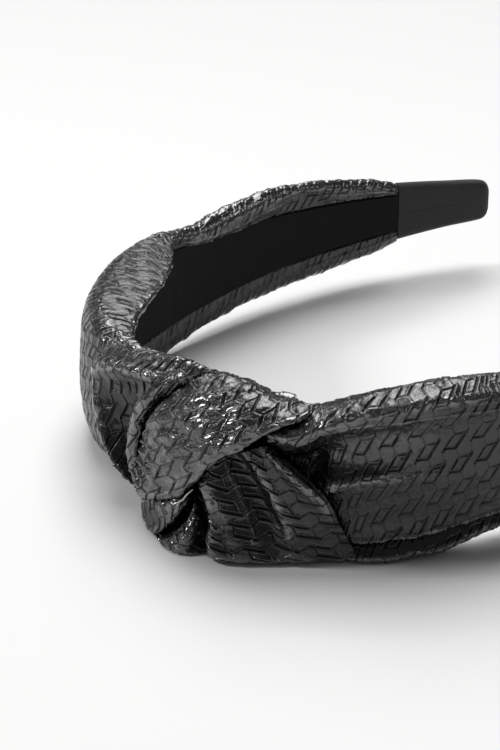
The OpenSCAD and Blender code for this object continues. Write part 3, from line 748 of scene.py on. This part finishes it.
PLEAT_DEPTH, PLEAT_TURN = 0.45, 2.6
CRUSHED = ((0.32, 3, 9, 0.6), (0.2, 1.5, 10, 0.6))
# These zones also lighten the wrap's colour: partly wear, partly a painted sheen.
WRAP_ZONES = ((-6, 13.4, 3.5, 1), (-2, 13, 3, 0.8), (-11, -2.5, 3, 1), (-17, -4, 2.5, 0.8), (-8, 4, 20, 0.45))
sheet = Sheet(wrap_net(WRAP_LOW, WRAP_UP, WRAP_DOME, WRAP_PROFILE), 313, 241)
pinch = np.clip((sheet.t - 0.6) / 0.3, 0, 1) * np.clip((sheet.w - 0.3) / 0.3, 0, 1)
pleats = PLEAT_DEPTH * pinch * np.sin((0.3 * sheet.v - 0.8 * sheet.u) * PLEAT_TURN)
x, h, z = np.moveaxis(sheet.band, -1, 0)
sheet.u, sheet.v = 0.55 * x + 0.4 * z - 0.45 * h, 1.3 * z - 0.9 * x - 0.35 * h
folds = pleats + crumples(sheet, CRUSHED)
wrap = leather_run("knot_wrap_leather", sheet, offset=(0.8, 0.4), folds=folds, zones=WRAP_ZONES)
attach(wrap, "crown")
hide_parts("knot_wrap")

# Tacking thread.
# The loose end of the pale thread that tacks the folds together: it leaves the fold under the wrap's lower
# corner and lies over the pleat and the lobe, with a small hook at its end.
THREAD_R, THREAD_STEPS, THREAD_SIDES = 0.16, 71, 8
THREAD_PATH = [(-7.6, 13.2, -3.4), (-8.6, 13.6, -4.8), (-9.4, 13.5, -6.2), (-10.6, 13.2, -7.6), (-11.4, 13, -9),
               (-12, 12.8, -10.4), (-12.8, 12.8, -11.2), (-13.3, 12.9, -10.8)]
path = np.array(THREAD_PATH)
centre_line = round_the_hoop(through(path, np.linspace(0, len(path) - 1, THREAD_STEPS)))
ring = np.linspace(0, 2 * math.pi, THREAD_SIDES + 1)[:-1, None]
ahead = unit(np.gradient(centre_line, axis=0))
side_way = unit(np.cross(ahead, [0.3, -0.9, 0.3]))
out_way = np.cross(side_way, ahead)
swell = THREAD_R * np.sqrt(np.clip(1 - np.linspace(-1, 1, THREAD_STEPS) ** 18, 0.02, 1))
round_it = side_way[:, None] * np.cos(ring) + out_way[:, None] * np.sin(ring)
tube = centre_line[:, None] + swell[:, None, None] * round_it
index = np.arange(THREAD_STEPS * THREAD_SIDES).reshape(THREAD_STEPS, THREAD_SIDES)
beside = np.roll(index, -1, axis=1)
quads = np.stack([index[:-1], index[1:], beside[1:], beside[:-1]], -1).reshape(-1, 4)
mesh = bpy.data.meshes.new("tack_thread_end")
mesh.from_pydata((tube.reshape(-1, 3) * MM).tolist(), [],
                 quads.tolist() + [index[0].tolist(), index[-1, ::-1].tolist()])
mesh.polygons.foreach_set("use_smooth", np.ones(len(mesh.polygons), bool))
thread = bpy.data.objects.new("tack_thread_end", mesh)
bpy.context.scene.collection.objects.link(thread)
twist, start, shader = finish("sewing_thread", {"Specular IOR Level": 0.3})
place = start.node("ShaderNodeTexCoord", out="Object")
strand = start.node("ShaderNodeTexWave", {}, {"Vector": place, "Scale": 900.0, "Distortion": 1.0}, "Fac")
feed(start, shader, colour=strand.mix((0.42, 0.4, 0.36, 1), (0.72, 0.7, 0.66, 1)),
     roughness=strand * 0.1 + 0.6, bump=strand * 0.00003)
thread.data.materials.append(twist)
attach(thread, "crown")
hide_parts("tack_thread")

# Stage.
# A white table under the band, a little darker towards the back; two soft lights behind and above it, a weak
# one at the side and a small one from the camera's left; and the camera at the photograph's angle.
FLOOR_Z, TABLE_HALF = TABLE_Z * MM - 0.0001, 3
corners = [(x * TABLE_HALF, y * TABLE_HALF, FLOOR_Z) for x, y in ((-1, -1), (1, -1), (1, 1), (-1, 1))]
mesh = bpy.data.meshes.new("table")
mesh.from_pydata(corners, [], [(0, 1, 2, 3)])
table = bpy.data.objects.new("table", mesh)
bpy.context.scene.collection.objects.link(table)
white, start, shader = finish("white_table", {"Roughness": 0.7, "Specular IOR Level": 0.2})
place = start.node("ShaderNodeTexCoord", out="Object")
# The table is painted darker towards the back: painted shade that evens out the lamps' stronger light there.
back = start.node("ShaderNodeVectorMath", {"operation": "DOT_PRODUCT"}, {0: place, 1: (-0.69, 0.72, 0)}, "Value")
feed(start, shader, colour=back.between(0, 0.5).mix((0.85, 0.85, 0.845, 1), (0.7, 0.7, 0.695, 1)))
table.data.materials.append(white)


def point_at(thing, place, target):
    """Puts a lamp or camera at a place and turns its -Z to a target, upright."""
    away = unit(np.array(place, float) - np.array(target, float))
    right = unit(np.cross([0, 0, 1], away))
    up = np.cross(away, right)
    thing.matrix_world = Matrix([[right[k], up[k], away[k], place[k]] for k in range(3)] + [[0, 0, 0, 1]])


LIGHTS = (("top_light", (-0.62, 0.7, 2.42), 1.6, 49), ("back_light", (-1.25, 1.32, 1.7), 1.1, 16),
          ("side_light", (-1.9, 0.05, 1.5), 0.7, 4.5), ("left_light", (-1.55, -1.5, 1.55), 0.5, 26))
for name, place, size, power in LIGHTS:
    data = bpy.data.lights.new(name, "AREA")
    data.size, data.energy = size, power
    lamp = bpy.data.objects.new(name, data)
    bpy.context.scene.collection.objects.link(lamp)
    point_at(lamp, place, (0, 0, 0))
world = bpy.data.worlds.new("studio")
bpy.context.scene.world = world
world.use_nodes = True
background = world.node_tree.nodes["Background"]
background.inputs["Color"].default_value = (1, 1, 1, 1)
background.inputs["Strength"].default_value = 0.12
AZIMUTH, ELEVATION, DISTANCE = math.radians(43.6), math.radians(25.3), 0.4478
LOOK_AT = (-0.00865, -0.026, 0.00025)
FOCAL_PX, PHOTO_PX, SENSOR = 2099.4, 750, 36
camera_data = bpy.data.cameras.new("camera")
camera_data.sensor_width = SENSOR
camera_data.lens = FOCAL_PX * SENSOR / PHOTO_PX
camera_data.clip_start = 0.01
camera = bpy.data.objects.new("camera", camera_data)
bpy.context.scene.collection.objects.link(camera)
point_at(camera, (LOOK_AT[0] + DISTANCE * math.sin(AZIMUTH) * math.cos(ELEVATION),
                  LOOK_AT[1] - DISTANCE * math.cos(AZIMUTH) * math.cos(ELEVATION),
                  LOOK_AT[2] + DISTANCE * math.sin(ELEVATION)), LOOK_AT)
bpy.context.scene.camera = camera
bpy.context.scene.view_settings.view_transform = "Standard"
